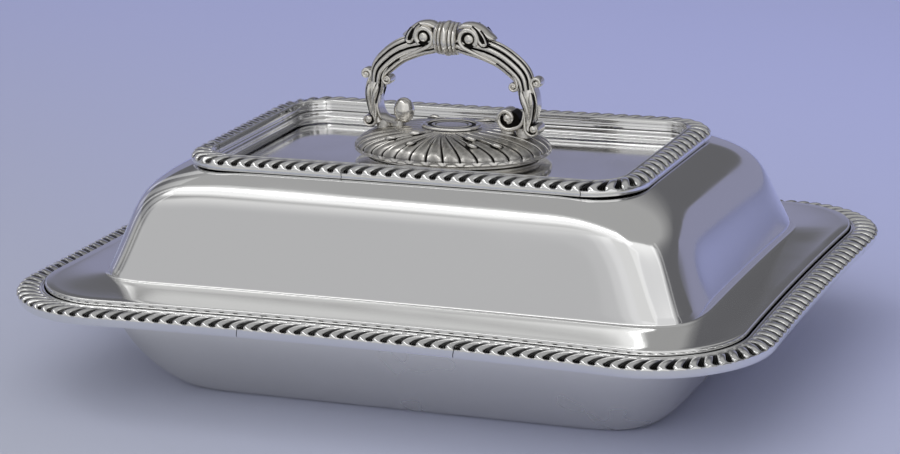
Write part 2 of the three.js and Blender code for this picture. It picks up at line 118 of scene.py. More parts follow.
# The gadroon borders. Each row is a line along the border: shares of the border's width inwards and of its
# height, then how deep the hollows are there and how wide, as shares. Below zero the height is of the skirt.
rim_border_width = 10.4 * MM
rim_border_height = 4.1 * MM
rim_border_skirt = 1.9 * MM
rim_row_shares = (
    (0.12, -1, 0, 1), (0.065, -0.6, 0, 1), (0.035, -0.1, 0, 1), (0.02, 0.12, 0, 1), (0.004, 0.27, 0, 0.7),
    (0, 0.36, 0, 0.6), (0.006, 0.43, 0.35, 0.65), (0.018, 0.49, 0.9, 0.85), (0.04, 0.56, 1, 1),
    (0.075, 0.63, 1, 1), (0.12, 0.7, 1, 1), (0.18, 0.76, 1, 1), (0.25, 0.81, 0.95, 0.95),
    (0.34, 0.84, 0.88, 0.9), (0.45, 0.85, 0.82, 0.85), (0.57, 0.84, 0.76, 0.8), (0.69, 0.805, 0.68, 0.75),
    (0.79, 0.75, 0.5, 0.7), (0.855, 0.68, 0.2, 0.6), (0.88, 0.66, 0, 0.5), (0.9, 0.74, 0, 0.5),
    (0.94, 0.775, 0, 0.5), (0.99, 0.765, 0, 0.5), (1.03, 0.71, 0, 0.5), (1.035, 0.62, 0, 0.5),
    (1, 0, 0, 0.5), (0.24, 0, 0, 1), (0.24, -1, 0, 1),
)
# Seams: how far before and after a long side's middle, and to both sides of an end's, in shares of its half
rim_seam_shares = (0.41, 0.41, 0.8)
top_border_width = 9.5 * MM
top_border_height = 4.6 * MM
top_row_shares = (
    (0.03, 0, 0, 1), (0, 0.1, 0, 1), (0, 0.36, 0, 1), (0.01, 0.45, 0, 0.7), (0.025, 0.53, 0.45, 0.7),
    (0.05, 0.61, 0.95, 0.9), (0.085, 0.7, 1, 1), (0.13, 0.79, 1, 1), (0.19, 0.87, 1, 1),
    (0.27, 0.93, 0.95, 0.95), (0.37, 0.975, 0.87, 0.9), (0.48, 1, 0.78, 0.85), (0.6, 1, 0.68, 0.8),
    (0.72, 0.98, 0.5, 0.7), (0.81, 0.955, 0.25, 0.6), (0.86, 0.9, 0, 0.5), (0.885, 0.95, 0, 0.5),
    (0.93, 0.95, 0, 0.5), (0.97, 0.93, 0, 0.5), (1, 0.86, 0, 0.5), (0.985, 0.74, 0, 0.5),
    (0.955, 0.6, 0, 0.5), (0.95, 0.45, 0, 0.5), (0.98, 0.34, 0, 0.5), (1, 0.28, 0, 0.5), (1, 0.2, 0, 0.5),
    (0.975, 0.12, 0, 0.5), (1, 0, 0, 0.5), (0.5, 0, 0, 1),
)
top_seam_shares = (0.33, 1, 0.8)
seam_gap = 0.3 * MM
# One gadroon along the border: a share of the pitch, how deep the metal lies there and how much tarnish and
# painted shade it has.
# The hollow comes first, with two fine reeds in it, and then the lobe.
gadroon_shares = (
    (0, 0.3, 0.3), (0.05, 0.88, 1), (0.11, 1, 1), (0.16, 0.62, 0.55), (0.21, 1, 1), (0.27, 1, 1),
    (0.32, 0.62, 0.55), (0.37, 1, 1), (0.43, 0.9, 1), (0.48, 0.45, 0.4), (0.55, 0.22, 0), (0.63, 0.07, 0),
    (0.73, 0, 0), (0.83, 0.04, 0), (0.92, 0.15, 0),
)
# How far the lower ends of the gadroons curl back along the border, and how far in that reaches
gadroon_curl = 1.3 * MM
curl_reach = 1.4 * MM
hollow_share = 0.48
# How far up its sides a gadroon's hollow carries as much tarnish and painted shade as in its depth
tarnish_and_shade_spread_share = 1.3
# The row that the pitch is measured along, and how the gadroons' slant grows towards the inner edge
pitch_row = 8
slant_power = 1.15
strip_names = ("right", "back_right", "back", "back_left", "left", "front_left", "front", "front_right")

# The boss and its medallion
boss_oval = Oval(40.3 * MM, 27.9 * MM)
medallion_oval = Oval(12.3 * MM, 8.9 * MM)
medallion_margin = 0.5 * MM
boss_foot_inset = 5.2 * MM
boss_undercut = 3.1 * MM
boss_band = 0.5 * MM
boss_flutes = 36
# How much the flutes' upper ends crowd towards the long sides
boss_swirl = 0.46
# One flute round the boss: a share of its width, how deep the metal lies there and how much tarnish and
# painted shade it has, which greys the whole flute
flute_shares = (
    (0, 1, 1), (0.04, 0.7, 0.8), (0.08, 0.06, 0), (0.15, 0.3, 0.35), (0.32, 0.16, 0.5), (0.5, 0.03, 0.52),
    (0.68, 0, 0.46), (0.84, 0.16, 0.3), (0.95, 0.55, 0.7),
)
# Down the boss's dome: a share of its angle, how deep the flutes are and how far their lower ends close in
boss_row_shares = (
    (0, 0, 0), (0.03, 0.15, 0), (0.07, 0.3, 0), (0.12, 0.5, 0), (0.18, 0.7, 0), (0.25, 0.85, 0),
    (0.33, 1, 0), (0.41, 1, 0), (0.49, 1, 0), (0.57, 1, 0), (0.65, 1, 0), (0.72, 1, 0), (0.78, 1, 0),
    (0.84, 1, 0.1), (0.89, 1, 0.25), (0.93, 1, 0.45), (0.96, 1, 0.7), (0.985, 0.9, 1), (1, 0.5, 1),
)
# Drops on the boss: a turn round it in degrees, and how far down they lie as a share of the dome's angle.
# Each has a twin on the other side of the boss.
boss_drops = ((-134, 0.47), (-132, 0.22), (-109, 0.51), (-45, 0.31), (-54, 0.51), (-37, 0.55))
highest_drop_share = 0.02
# Along a drop, from the tip of its tail: a share of the dome's angle, and of the drop's radius
drop_radius = 1.5 * MM
drop_shares = (
    (-0.25, 0.08), (-0.1875, 0.18), (-0.1125, 0.26), (-0.055, 0.45), (-0.035, 0.9), (0, 1.1), (0.035, 0.9),
    (0.05, 0.5), (0.055, 0.15),
)
# The dark layer of painted shade round a drop and the drop itself: shares of its radius across and up, and
# how much painted shade it has
drop_layer_shares = ((1.5, 0.3, 1), (1, 1, 0))
# The medallion from its middle outwards: shares of its size and of its height. Tarnish and painted shade lie
# on what is inside this share of its size and below this share of its height.
medallion_recess_share = 0.8
medallion_low_share = 0.56
medallion_shares = (
    (0.3, 0.62), (0.5, 0.6), (0.54, 0.55), (0.57, 0.8), (0.61, 0.88), (0.65, 0.8), (0.68, 0.5),
    (0.74, 0.42), (0.79, 0.5), (0.82, 0.8), (0.87, 0.97), (0.92, 1), (0.97, 0.85), (1, 0.5), (1, 0),
)

# The ringed collar: shares of its half length and of its radius, from its middle to its right end
collar_half_length = 4.6 * MM
collar_radius = 7 * MM
collar_half_shares = (
    (0, 1), (0.14, 0.98), (0.27, 0.9), (0.29, 0.76), (0.34, 0.76), (0.36, 0.88), (0.42, 0.94), (0.52, 0.94),
    (0.61, 0.88), (0.63, 0.76), (0.68, 0.76), (0.7, 0.87), (0.78, 0.92), (0.88, 0.91), (0.97, 0.87),
    (1, 0.74),
)
collar_shares = (*((-along, reach) for along, reach in reversed(collar_half_shares[1:])), *collar_half_shares)
# Tarnish and painted shade lie in the grooves, below the first share of the radius, but not on the ends, past
# the second share of the half length
collar_groove_share = 0.8
collar_end_share = 0.95

# The hidden CAD pieces, which keep their own shapes
inner_names = (
    "bayonet_plate", "bayonet_spigot", "boss_plate", "spigot_nut", "foot_nut_left", "foot_nut_right",
    "spring_washer",
)

# How finely the shapes are divided
end_steps = 12
corner_steps = 20
side_steps = 16
curve_steps = 36
bend_steps = 6
length_samples = 600
oval_steps = 96
collar_steps = 48
reed_steps = 8
spline_steps = 5
spiral_step_degrees = 24
drop_corners = 12


def grow(shape, distance):
    """An outline or an oval moved outwards all round by one distance."""
    lengths = {name: getattr(shape, name) + distance for name in shape._fields if "lean" not in name}
    return shape._replace(**lengths)


def blend(first, last, share):
    """An outline or an oval part of the way from one to another."""
    return type(first)(*(a + (b - a) * share for a, b in zip(first, last)))


def mix(first, last, share):
    """A number part of the way from one to another."""
    return first + (last - first) * share


def quarter_point(outline, place):
    """A point of the first quarter: place 0 to 1 is up the end, 1 to 2 round the corner, 2 to 3 the side."""
    end_angle = math.radians(outline.end_lean)
    side_angle = math.radians(outline.side_lean)
    centre_x = outline.half_length - outline.corner
    centre_y = outline.half_width - outline.corner
    if place <= 1:
        end_y = centre_y - outline.corner * math.sin(end_angle)
        hollow = end_y * math.tan(end_angle) / 2
        x = centre_x + outline.corner * math.cos(end_angle) - hollow * (1 - place ** 2)
        return x, end_y * place
    if place <= 2:
        angle = (math.pi / 2 + end_angle + side_angle) * (place - 1) - end_angle
        return centre_x + outline.corner * math.cos(angle), centre_y + outline.corner * math.sin(angle)
    side_x = centre_x - outline.corner * math.sin(side_angle)
    hollow = side_x * math.tan(side_angle) / 2
    back = 3 - place
    y = centre_y + outline.corner * math.cos(side_angle) - hollow * (1 - back ** 2)
    return side_x * back, y


def outline_point(outline, place):
    """A point of the whole outline, by its place from 0 at the right end, anticlockwise, to 12."""
    quarter, local = divmod(place % 12, 3)
    quarter = quarter % 4
    mirrored = quarter % 2 == 1
    x, y = quarter_point(outline, 3 - local if mirrored else local)
    turn = -1 if quarter >= 2 else 1
    return turn * (-x if mirrored else x), turn * y


def ring_places():
    """The places at which a whole outline is divided."""
    steps = (end_steps, corner_steps, side_steps, side_steps, corner_steps, end_steps) * 2
    return [segment + step / count for segment, count in enumerate(steps) for step in range(count)]


def bend(outline, height, radius, first_degrees, last_degrees):
    """Levels round a bend; the outline and height are of its centre, and 0 degrees points outwards."""
    levels = []
    for step in range(bend_steps + 1):
        angle = math.radians(mix(first_degrees, last_degrees, step / bend_steps))
        levels.append(Level(grow(outline, radius * math.cos(angle)), height + radius * math.sin(angle)))
    return levels


def curved_wall(lower, upper, low, high, handles):
    """Levels up a wall that curves from one outline to another."""
    near, far = handles
    points = interpolate_bezier((0, 0), near, far, (1, 1), curve_steps + 1)
    return [Level(blend(lower, upper, point.x), mix(low, high, point.y)) for point in points]


def soften(levels):
    """The same levels with the softness of a drawn wall."""
    return [level._replace(softness=wall_softness) for level in levels]


def ring_points(level, places):
    """The points of a level's outline at the places, averaged with their neighbours where it is soft."""
    if not level.softness:
        return [outline_point(level.outline, place) for place in places]
    walk = OutlineWalk(level.outline, -1, 13)
    points = []
    for place in places:
        near = [outline_point(level.outline, walk.place(place, offset * level.softness))
                for offset, _ in softening_shares]
        shares = [share for _, share in softening_shares]
        points.append(numpy.average(near, axis=0, weights=shares))
    return points


def new_mesh():
    """An empty mesh whose vertices know their place in a ring and their recess, how much tarnish and painted
    shade they carry.
    """
    mesh = bmesh.new()
    mesh.verts.layers.int.new("place")
    mesh.verts.layers.float.new("recess")
    return mesh


def loft(mesh, levels, count, point_of):
    """Rings of vertices joined by faces, one for each level, and the edges of the first and last ring.

    point_of(level, number) gives where a ring's vertex lies and its recess, how much tarnish and painted
    shade it carries.
    """
    place = mesh.verts.layers.int["place"]
    recess = mesh.verts.layers.float["recess"]
    ring = bmesh.ops.create_circle(mesh, segments=count, radius=1)["verts"]
    for vertex in ring:
        vertex[place] = round(math.atan2(vertex.co.y, vertex.co.x) / math.tau * count) % count
    edges = list(dict.fromkeys(edge for vertex in ring for edge in vertex.link_edges))
    first_edges = edges
    for number, level in enumerate(levels):
        if number:
            grown = bmesh.ops.extrude_edge_only(mesh, edges=edges)["geom"]
            edges = [item for item in grown if isinstance(item, bmesh.types.BMEdge)]
            ring = [item for item in grown if isinstance(item, bmesh.types.BMVert)]
        for vertex in ring:
            vertex.co, vertex[recess] = point_of(level, vertex[place])
    return first_edges, edges


def close_ends(mesh, rings):
    """Fills the first and the last ring of a loft."""
    for edges in rings:
        bmesh.ops.edgeloop_fill(mesh, edges=edges)


def finish_piece(mesh, name, material, body, replaced, sharp_degrees=50, facing=0):
    """Turns a mesh into a piece that rides on a body, stands for CAD nodes and wears a material.

    The faces of an open sheet point the way that its largest face does: facing is 1 for up and -1 for down.
    """
    bmesh.ops.remove_doubles(mesh, verts=mesh.verts, dist=weld)
    bmesh.ops.recalc_face_normals(mesh, faces=mesh.faces)
    largest = max(mesh.faces, key=lambda face: face.calc_area())
    if largest.normal.z * facing < 0:
        bmesh.ops.reverse_faces(mesh, faces=mesh.faces)
    mesh.verts.layers.int.remove(mesh.verts.layers.int["place"])
    data = bpy.data.meshes.new(name)
    mesh.to_mesh(data)
    mesh.free()
    data.shade_smooth()
    data.set_sharp_from_angle(angle=math.radians(sharp_degrees))
    data.materials.append(material)
    piece = bpy.data.objects.new(name, data)
    bpy.context.scene.collection.objects.link(piece)
    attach(piece, body)
    if replaced:
        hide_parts(*replaced)
    return piece


def add_wall(piece, thickness):
    """Gives a sheet its thickness, on the side away from its faces."""
    wall = piece.modifiers.new("wall", "SOLIDIFY")
    wall.thickness = thickness
    wall.offset = -1
    wall.use_even_offset = True


def sheet_mesh(levels, places):
    """A drawn sheet through levels, from the middle of its floor outwards."""
    mesh = new_mesh()
    rings = [ring_points(level, places) for level in levels]

    def point_of(ring, number):
        x, y = rings[ring][number]
        return (x, y, levels[ring].height), 0

    floor_edges, _ = loft(mesh, range(len(levels)), len(places), point_of)
    bmesh.ops.edgeloop_fill(mesh, edges=floor_edges)
    return mesh


def basin_levels():
    """The outside of the basin, from its base to the edge of its flange."""
    under = flange_top - sheet
    wall = curved_wall(base_outline, mouth_outline, 0, under - mouth_round, basin_curve_shares)
    mouth = bend(grow(mouth_outline, mouth_round), under - mouth_round, mouth_round, 180, 90)
    floor = Level(grow(base_outline, -flat_margin), 0)
    edge = Level(grow(rim_outline, -flange_inset), under)
    return [floor, *soften(wall), *soften(mouth[1:]), edge]


def cover_levels():
    """The upper side of the cover, from its sunk floor to the lower edge of its flange."""
    inner_edge = grow(top_outline, -top_border_width)
    floor = shoulder_top - well_depth
    flange = cover_seat + cover_edge_height
    lower_bend = bend(grow(inner_edge, -well_bend), floor + well_bend, well_bend, -90, 0)
    upper_bend = bend(grow(inner_edge, well_bend), shoulder_top - well_bend, well_bend, 180, 90)
    dome = curved_wall(foot_outline, top_outline, flange + foot_fillet, shoulder_top, dome_curve_shares)
    fillet = bend(grow(foot_outline, foot_fillet), flange + foot_fillet, foot_fillet, 180, 270)
    edge_round = bend(grow(cover_outline, -cover_edge_round), flange - cover_edge_round, cover_edge_round,
                      90, 5)
    return [
        Level(grow(inner_edge, -well_bend - flat_margin), floor),
        *lower_bend,
        *upper_bend,
        *soften(reversed(dome)),
        *soften(fillet[1:]),
        Level(grow(cover_outline, -cover_edge_round - flat_margin), flange),
        *edge_round,
        Level(cover_outline, cover_seat),
    ]


class OutlineWalk:
    """The places of an outline by the distance walked along it."""

    def __init__(self, outline, first, last):
        self.places = numpy.linspace(first, last, length_samples)
        points = numpy.array([outline_point(outline, place) for place in self.places])
        steps = numpy.hypot(*numpy.diff(points, axis=0).T)
        self.distances = numpy.concatenate(([0], numpy.cumsum(steps)))
        self.first = first

    def length(self, first, last):
        """The distance from one place to another."""
        ends = numpy.interp([first, last], self.places, self.distances)
        return ends[1] - ends[0]

    def place(self, first, distance):
        """The place at a distance past another place."""
        start = numpy.interp(first, self.places, self.distances)
        return float(numpy.interp(start + distance, self.distances, self.places))


def squeeze(share, width):
    """Where a column of a gadroon lies in a row whose hollow has a share of its full width."""
    middle = hollow_share / 2
    if share <= hollow_share:
        return middle + (share - middle) * width
    across = (share - hollow_share) / (1 - hollow_share)
    hollow_end = middle + middle * width
    next_start = 1 + middle - middle * width
    return mix(hollow_end, next_start, across)


def section_normals(rows):
    """The outward directions of a closed section, in insets and heights."""
    normals = []
    for number in range(len(rows)):
        before = rows[number - 1]
        after = rows[(number + 1) % len(rows)]
        run = Vector((after.inset - before.inset, after.height - before.height)).normalized()
        normals.append(Vector((-run.y, run.x)))
    return normals


def border_strip(outline, rows, first, last, pitch, relief, trail):
    """A stretch of gadroon border from one seam to the next."""
    walk = OutlineWalk(grow(outline, -rows[pitch_row].inset), first - 1, last + 1)
    length = walk.length(first, last)
    gadroons = round(length / pitch)
    columns = [(gadroon, *shares) for gadroon in range(gadroons) for shares in gadroon_shares]
    columns.append((gadroons, *gadroon_shares[0]))
    normals = section_normals(rows)
    inner = max(row.inset for row in rows)

    def point_of(column, number):
        gadroon, share, depth, tarnish_and_shade = column
        row = rows[number]
        width = row.width if 0 < gadroon < gadroons else 1
        along = (gadroon + squeeze(share, width)) / gadroons * length
        along = min(max(along, seam_gap / 2), length - seam_gap / 2)
        curl = gadroon_curl * max(1 - row.inset / curl_reach, 0) ** 2
        slant = trail * (row.inset / inner) ** slant_power + curl
        cut = depth * row.depth * relief
        inset = row.inset - normals[number].x * cut
        x, y = outline_point(grow(outline, -inset), walk.place(first, along + slant))
        height = row.height - normals[number].y * cut
        return (x, y, height), tarnish_and_shade * min(row.depth * tarnish_and_shade_spread_share, 1)

    mesh = new_mesh()
    close_ends(mesh, loft(mesh, columns, len(rows), point_of))
    return mesh


def border_rows(shares, width, seat, height, skirt):
    """The rows of a border's section, in metres."""
    return [Row(inset * width, seat + up * (skirt if up < 0 else height), depth, wide)
            for inset, up, depth, wide in shares]


def make_border(name, outline, rows, seam_shares, pitch, body, material):
    """The eight strips of a border, each in place of its CAD strip."""
    sizes = bpy.context.scene.dish_sizes
    left, right, end = seam_shares
    seams = (-end, end, 3 - left, 3 + right, 6 - end, 6 + end, 9 - left, 9 + right, 12 - end)
    for number, strip in enumerate(strip_names):
        mesh = border_strip(outline, rows, seams[number], seams[number + 1], pitch, sizes.gadroon_relief,
                            sizes.gadroon_sweep)
        finish_piece(mesh, f"{name}_gadroons_{strip}", material, body, [f"{name}_{strip}"])


def oval_point(oval, angle):
    """A point of an oval."""
    return oval.half_length * math.cos(angle), oval.half_width * math.sin(angle)


def boss_place(turn, down, lift):
    """A point of the boss's dome: a turn round it, a share of the way down, and a height above its metal."""
    seat = grow(medallion_oval, medallion_margin)
    equator = boss_foot + boss_undercut
    angle = down * math.pi / 2
    crowded = turn + boss_swirl * (1 - down) ** 2 * math.sin(2 * turn)
    x, y = oval_point(blend(seat, boss_oval, math.sin(angle)), crowded)
    height = mix(equator + boss_band, boss_top, math.cos(angle))
    outward = Vector((x / boss_oval.half_length ** 2, y / boss_oval.half_width ** 2, 0)).normalized()
    normal = (outward * math.sin(angle) + Vector((0, 0, 1)) * math.cos(angle)).normalized()
    return Vector((x, y, height)) + normal * lift


def boss_mesh():
    """The fluted dome of the boss and its undercut foot."""
    sizes = bpy.context.scene.dish_sizes
    equator = boss_foot + boss_undercut
    foot_oval = grow(boss_oval, -boss_foot_inset)
    per_flute = len(flute_shares)
    count = boss_flutes * per_flute
    undercut = (
        Level(boss_oval, equator - boss_band),
        Level(grow(boss_oval, -boss_band), equator - boss_band * 2),
        Level(grow(foot_oval, boss_band * 2), equator - boss_undercut / 2),
        Level(foot_oval, equator - boss_undercut * 0.6),
        Level(grow(foot_oval, boss_band), boss_foot + boss_band),
        Level(grow(foot_oval, boss_band), boss_foot),
    )

    def point_of(level, number):
        flute, column = divmod(number, per_flute)
        share, depth, tarnish_and_shade = flute_shares[column]
        turn = math.tau * (flute + share) / boss_flutes
        if isinstance(level, Level):
            x, y = oval_point(level.outline, turn)
            return (x, y, level.height), 0
        down, deep, closing = level
        cut = max(depth, closing * (2 * share - 1) ** 2) * deep
        return boss_place(turn, down, -cut * sizes.flute_relief), tarnish_and_shade * deep

    mesh = new_mesh()
    top_edges, _ = loft(mesh, [*boss_row_shares, *undercut], count, point_of)
    bmesh.ops.edgeloop_fill(mesh, edges=top_edges)
    return mesh


def add_drop(mesh, turn, down):
    """A pearl with a tail that runs up the boss's dome from it, over a wider patch of painted shade."""
    turn_step = 0.01

    def point_of(station, number):
        offset, size = station
        place = max(down + offset, highest_drop_share)
        angle = math.tau * number / drop_corners
        side = radius * size * math.cos(angle)
        across = boss_place(turn + turn_step, place, 0) - boss_place(turn, place, 0)
        raised = boss_place(turn, place, rise * size * math.sin(angle))
        return raised + across.normalized() * side, recess

    for width_share, rise_share, recess in drop_layer_shares:
        radius = drop_radius * width_share
        rise = drop_radius * rise_share
        close_ends(mesh, loft(mesh, drop_shares, drop_corners, point_of))


def medallion_mesh():
    """The oval medallion with its raised rings."""
    middle = Oval(0, 0)

    def point_of(level, number):
        reach, rise = level
        x, y = oval_point(blend(middle, medallion_oval, reach), math.tau * number / oval_steps)
        in_recess = reach < medallion_recess_share and rise < medallion_low_share
        return (x, y, mix(medallion_seat, medallion_top, rise)), int(in_recess)

    mesh = new_mesh()
    close_ends(mesh, loft(mesh, medallion_shares, oval_steps, point_of))
    return mesh


def collar_mesh():
    """The ringed collar, round the X axis."""

    def point_of(ring, number):
        along, reach = ring
        angle = math.tau * number / collar_steps
        radius = reach * collar_radius
        height = collar_height + radius * math.sin(angle)
        in_groove = reach < collar_groove_share and abs(along) < collar_end_share
        return (along * collar_half_length, radius * math.cos(angle), height), int(in_groove)

    mesh = new_mesh()
    close_ends(mesh, loft(mesh, collar_shares, collar_steps, point_of))
    return mesh


def smooth_stations(points, steps):
    """Stations on a smooth curve through a few, given in millimetres."""
    given = numpy.array(points, float)
    padded = numpy.vstack([2 * given[0] - given[1], given, 2 * given[-1] - given[-2]])
    stations = []
    for number in range(1, len(padded) - 2):
        p0, p1, p2, p3 = padded[number - 1:number + 3]
        for step in range(steps):
            t = step / steps
            value = 0.5 * (2 * p1 + (p2 - p0) * t + (2 * p0 - 5 * p1 + 4 * p2 - p3) * t ** 2
                           + (3 * p1 - p0 - 3 * p2 + p3) * t ** 3)
            stations.append(Station(*(value * MM)))
    stations.append(Station(*(given[-1] * MM)))
    return stations


def spiral_points(scroll):
    """Points of a scroll's spiral, in millimetres."""
    steps = round(abs(scroll.sweep) / spiral_step_degrees)
    first_radius, last_radius = scroll.radii
    points = []
    for step in range(steps + 1):
        share = step / steps
        angle = math.radians(scroll.start + scroll.sweep * share)
        radius = first_radius * (last_radius / first_radius) ** share
        x = scroll.centre[0] + radius * math.cos(angle)
        z = scroll.centre[1] + radius * math.sin(angle)
        points.append((x, z, mix(*scroll.half_widths, share), mix(*scroll.half_depths, share)))
    return points


def sweep(mesh, points, section, lift=0, steps=spline_steps):
    """A bar that follows points in the XZ plane, in millimetres; its section is a list of corners."""
    stations = smooth_stations(points, steps)

    def point_of(number, corner):
        here = stations[number]
        before = stations[max(number - 1, 0)]
        after = stations[min(number + 1, len(stations) - 1)]
        run = Vector((after.x - before.x, after.z - before.z)).normalized()
        across, deep, recess = section[corner]
        x = here.x - run.y * across * here.half_width
        z = here.z + run.x * across * here.half_width
        return (x, lift * MM + deep * here.half_depth, z), recess

    close_ends(mesh, loft(mesh, range(len(stations)), len(section), point_of))


def round_section(count, squareness=1, recess=0):
    """The corners of a round or softly square section; a squareness below 1 fills it out."""
    corners = []
    for number in range(count):
        angle = math.tau * number / count
        across = math.copysign(abs(math.cos(angle)) ** squareness, math.cos(angle))
        deep = math.copysign(abs(math.sin(angle)) ** squareness, math.sin(angle))
        corners.append((across, deep, recess))
    return corners


def reeded_section(reeds, groove):
    """The corners of an oval section with reeds all round and a groove between each two."""
    count = reeds * reed_steps
    corners = []
    for number in range(count):
        angle = math.tau * number / count
        local = (number + reed_steps / 2) % reed_steps / reed_steps
        hollow = 1 - math.sqrt(max(1 - (2 * local - 1) ** 2, 0))
        reach = 1 - groove * hollow
        tarnish_and_shade = min(groove_tarnish_and_shade_share * hollow, 1)
        corners.append((math.cos(angle) * reach, math.sin(angle) * reach, tarnish_and_shade))
    return corners


def ball(mesh, centre, half_sizes, lift=0):
    """A ball with its own half width, half depth and half height, in millimetres."""
    place = Matrix.Translation((centre[0] * MM, lift * MM, centre[1] * MM))
    size = Matrix.Diagonal((*(half * MM for half in half_sizes), 1))
    turn = Matrix.Rotation(math.pi / 2, 4, "X")
    bmesh.ops.create_uvsphere(mesh, u_segments=20, v_segments=12, radius=1, matrix=place @ size @ turn)


def painted_shade_disc(mesh, centre, radius, half_depth):
    """The dark floor of a scroll, a disc of painted shade, in millimetres."""
    place = Matrix.Translation((centre[0] * MM, 0, centre[1] * MM)) @ Matrix.Rotation(math.pi / 2, 4, "X")
    made = bmesh.ops.create_cone(mesh, cap_ends=True, segments=24, radius1=radius * MM, radius2=radius * MM,
                                 depth=half_depth * 2 * MM, matrix=place)
    recess = mesh.verts.layers.float["recess"]
    for vertex in made["verts"]:
        vertex[recess] = 1


# The right arm of the handle, seen from the front, in millimetres: x, z, half width and half depth
limb_points = (
    (4.3, 132.4, 4.4, 4.4), (7, 131.2, 4.2, 3.8), (12, 130.2, 4.4, 3.6), (17, 129, 4.8, 3.7),
    (22.5, 126.6, 4.8, 3.8), (27.6, 122.8, 4.7, 3.8), (30.5, 119.6, 4.3, 3.8), (31.5, 116.3, 3.7, 3.8),
    (31.8, 112.6, 3.3, 3.6),
)
shin_points = (
    (32.5, 114.8, 2.6, 3.4), (32.9, 112.9, 3.3, 3.9), (33.3, 110.5, 3, 3.9), (33.8, 107.5, 2.4, 3.8),
    (33.6, 104.5, 2.1, 3.7), (32.9, 101.6, 2, 3.6), (31.8, 98.2, 2.3, 3.4),
)
# A scroll's bar comes along its lead and rolls up round its centre, over a dark floor of painted shade with a
# ball for its eye. The start and the sweep are in degrees, and a sweep below zero turns clockwise.
volute = Scroll(
    lead=((20.5, 124.6, 0.7, 3.4), (16, 126.7, 0.8, 3.9), (12, 128.5, 0.9, 4.3)),
    centre=(9.7, 134), radii=(4.1, 3.2), start=245, sweep=-290,
    half_widths=(1, 1.2), half_depths=(4.7, 4.6), floor=(9.8, 134, 3.4), eye=1.9,
)
ear = Scroll(
    lead=((35.6, 103.5, 0.5, 2.4), (36.4, 107, 0.6, 2.6), (36.5, 110.5, 0.65, 2.8), (35.6, 114.5, 0.65, 2.8)),
    centre=(36.6, 117.6), radii=(2.3, 0.8), start=190, sweep=-400,
    half_widths=(0.75, 0.6), half_depths=(2.6, 2.4), floor=(36.6, 117.5, 1.5), eye=1,
)
inner_ear = Scroll(
    lead=((26.6, 121, 0.6, 2.6), (28.3, 118.6, 0.7, 2.8)),
    centre=(27, 115.9), radii=(2, 0.8), start=20, sweep=-400,
    half_widths=(0.7, 0.5), half_depths=(3.1, 3), floor=(27, 115.8, 1.3), eye=0.9,
)
foot_scroll = Scroll(
    lead=((31.2, 110.5, 0.6, 2.8), (31.5, 106.5, 0.7, 3.2), (31.1, 103.2, 0.75, 3.5),
          (29.7, 100.6, 0.85, 3.7)),
    centre=(24.4, 103.4), radii=(5, 1.6), start=305, sweep=-385,
    half_widths=(1.05, 1), half_depths=(3.9, 3.9), floor=(25.9, 102.7, 3.5), eye=1.6,
)
toe_scroll = Scroll(
    lead=((32.3, 107, 0.5, 3.9), (32, 103.2, 0.6, 4.2)),
    centre=(35.4, 99.6), radii=(3.3, 1.5), start=180, sweep=240,
    half_widths=(0.7, 0.5), half_depths=(4.4, 4.2), floor=(35.3, 99.3, 1.6), eye=1.5,
)
# Where a foot has no scroll, its bar ends behind a plain round face
foot_end_points = ((26.6, 99.3, 1.1, 3.6), (22.8, 98.9, 1, 3.4))
foot_disc_centre = (20.9, 103.3)
foot_disc_sizes = (4.4, 3.6, 5.2)
# The leaf that lies over the volute: its blade, and the edge of the lobe that hangs down, with a dark bar of
# painted shade for its hollow
blade_points = (
    (5.2, 138, 1, 3), (7.2, 138.8, 1.2, 3.3), (9.8, 139, 1.2, 3.4), (12.3, 138.2, 1.5, 3.5),
    (14.6, 136.5, 1.8, 3.5), (17, 134.9, 1.5, 3.2), (19, 134.2, 0.8, 2.2), (20, 133.9, 0.3, 1),
)
lobe_edge_points = (
    (10.9, 138.9, 0.45, 0.8), (12.6, 137.3, 0.55, 0.9), (13.6, 135.2, 0.6, 1), (14.1, 133.4, 0.65, 1),
    (15.3, 132, 0.75, 1), (16.8, 132.3, 0.7, 1), (16.7, 133.8, 0.55, 1), (15.7, 135.7, 0.5, 0.9),
    (14.4, 137.4, 0.4, 0.7),
)
lobe_hollow_points = (
    (12.9, 137.6, 0.6, 0.5), (14.4, 135.4, 1, 0.6), (15.2, 133.7, 1, 0.6), (15.7, 132.6, 0.7, 0.5),
)
lobe_lift = 3.7
# The two leaf points on the shin, from the left one to the right one
crown_points = (
    ((33.2, 101.6, 0.5, 0.6), (33.2, 103.6, 0.9, 0.9), (32.9, 107, 1.1, 1.1), (31.9, 110.3, 1.3, 1.3),
     (31.1, 112.6, 1.1, 1.1), (30.7, 114.2, 0.4, 0.6)),
    ((33.8, 101.6, 0.5, 0.6), (34.3, 103.6, 0.8, 0.8), (34.8, 107, 0.9, 1), (34.9, 110.1, 1.1, 1.2),
     (34.7, 112.4, 1, 1.1), (34.5, 114, 0.4, 0.6)),
)
crown_lift = 3.2
floor_drop = 1.1
# The line of painted shade round a raised bar: how much wider and how much flatter its dark copy is
outline_width = 0.45
outline_drop = 0.3
# The pads under a foot, darkened with painted shade: their places, and then height above the boss, half width
# and half depth
pad_places = (23.6, 30)
pad_points = ((-2.4, 3.4, 3), (1.4, 2.6, 2.6))
# The left arm stands a little closer to the middle than the right one
left_arm_share = 0.965
# How fast the tarnish and painted shade grow into the grooves between the reeds
groove_tarnish_and_shade_share = 2.2
stud_place = 24.5 * MM
stud_radius = 1.6 * MM
stud_rise = 2 * MM


